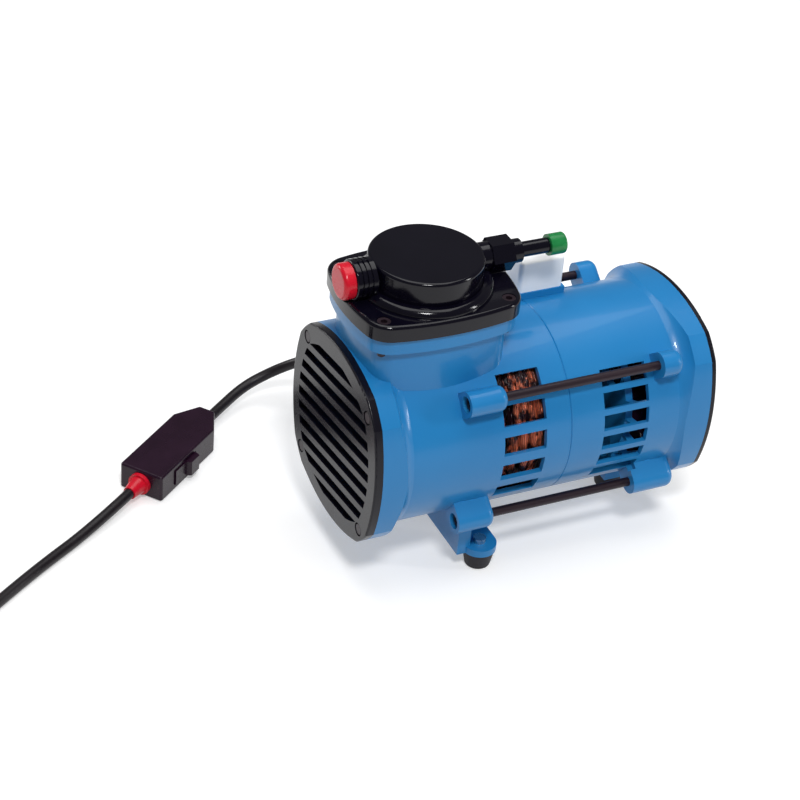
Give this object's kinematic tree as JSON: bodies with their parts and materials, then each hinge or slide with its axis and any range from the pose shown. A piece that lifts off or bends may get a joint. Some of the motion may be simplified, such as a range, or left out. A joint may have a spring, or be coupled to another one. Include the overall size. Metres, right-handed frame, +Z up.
{
  "type": "diaphragm vacuum pump",
  "caption": "Oil-free diaphragm vacuum pump: round motor housing on rubber feet, square pump head with capped ports on top, slotted end covers, and a mains cord with an inline switch.",
  "frame": {"origin": "middle of the object's length and width, on the surface that the feet stand on; the cord and what is on it are left out of that middle", "axes": "+X along the motor shaft, from the pump head's end to the motor's rear end; +Z up; -Y towards the side that the picture shows"},
  "size_m": [0.5835, 0.2403, 0.2201],
  "materials": {
    "blue_paint": "gloss",
    "black_cover": "satin",
    "black_head": "gloss",
    "black_steel": "satin",
    "bright_steel": "satin",
    "core_steel": "matte",
    "copper": "satin",
    "aluminium": "satin",
    "rubber_black": "matte",
    "white_plastic": "gloss",
    "red_plastic": "gloss",
    "green_plastic": "gloss",
    "black_plastic": "satin",
    "cord_jacket": "matte"
  },
  "bodies": {
    "housing": {"front_shell": "blue_paint", "rear_shell": "blue_paint", "capacitor_tray": "blue_paint", "front_cover": "black_cover", "rear_cover": "black_cover", "head_base": "black_head", "head_cover": "black_head", "inlet_fitting": "black_head", "outlet_nozzle": "black_head", "tie_bolts": "black_steel", "head_screws": "black_steel", "front_cover_screws": "black_steel", "rear_cover_screws": "black_steel", "foot_screws": "bright_steel", "valve_rivets": "bright_steel", "front_bearing": "bright_steel", "rear_bearing": "bright_steel", "plug_pins": "bright_steel", "stator_core": "core_steel", "front_winding": "copper", "rear_winding": "copper", "valve_plate": "aluminium", "foot_front_near": "rubber_black", "foot_front_far": "rubber_black", "foot_rear": "rubber_black", "diaphragm": "rubber_black", "head_gasket": "rubber_black", "capacitor": "white_plastic", "switch_relief": "red_plastic", "switch_base": "black_plastic", "switch_cover": "black_plastic", "mains_plug": "black_plastic", "cord_gland": "black_plastic", "coil_tie": "black_plastic", "cord_upper": "cord_jacket", "cord_lower": "cord_jacket", "cord_coil": "cord_jacket"},
    "rotor_assembly": {"shaft": "bright_steel", "rotor": "core_steel", "fan": "black_plastic", "eccentric": "core_steel", "counterweight": "core_steel"},
    "rod_assembly": {"connecting_rod": "aluminium", "rod_bearing": "bright_steel", "diaphragm_clamp": "aluminium", "clamp_screw": "bright_steel"},
    "inlet_valve": {"inlet_reed": "bright_steel"},
    "outlet_valve": {"outlet_reed": "bright_steel"},
    "inlet_cap": {"red_cap": "red_plastic"},
    "outlet_cap": {"green_cap": "green_plastic"},
    "rocker": {"switch_rocker": "black_plastic"}
  },
  "joints": [
    {"name": "shaft_spin", "type": "hinge", "parent": "housing", "child": "rotor_assembly", "pos_m": [-0.02055, 0, 0.0931], "axis": [1, 0, 0], "continuous": true, "deforming": ["diaphragm"]},
    {"name": "rod_swing", "type": "hinge", "parent": "rotor_assembly", "child": "rod_assembly", "pos_m": [-0.06495, 0, 0.0956], "axis": [1, 0, 0], "continuous": true, "deforming": ["diaphragm"]},
    {"name": "inlet_valve_flap", "type": "hinge", "parent": "housing", "child": "inlet_valve", "pos_m": [-0.09495, 0, 0.19108], "axis": [0, 1, 0], "range_deg": [0, 6], "stiffness_Nm_per_rad": 0.002},
    {"name": "outlet_valve_flap", "type": "hinge", "parent": "housing", "child": "outlet_valve", "pos_m": [-0.04995, 0, 0.19412], "axis": [0, -1, 0], "range_deg": [0, 6], "stiffness_Nm_per_rad": 0.002},
    {"name": "red_cap_pull", "type": "slide", "parent": "housing", "child": "inlet_cap", "axis": [-1, 0, 0], "range_m": [0, 0.014]},
    {"name": "green_cap_pull", "type": "slide", "parent": "housing", "child": "outlet_cap", "axis": [1, 0, 0], "range_m": [0, 0.014]},
    {"name": "switch_rocker_tilt", "type": "hinge", "parent": "housing", "child": "rocker", "pos_m": [-0.18557, 0.10138, 0.01], "axis": [0, 0, 1], "range_deg": [-7, 7]}
  ],
  "couplings": [
    {"joint": "rod_swing", "follows": "shaft_spin", "ratio": -1}
  ]
}
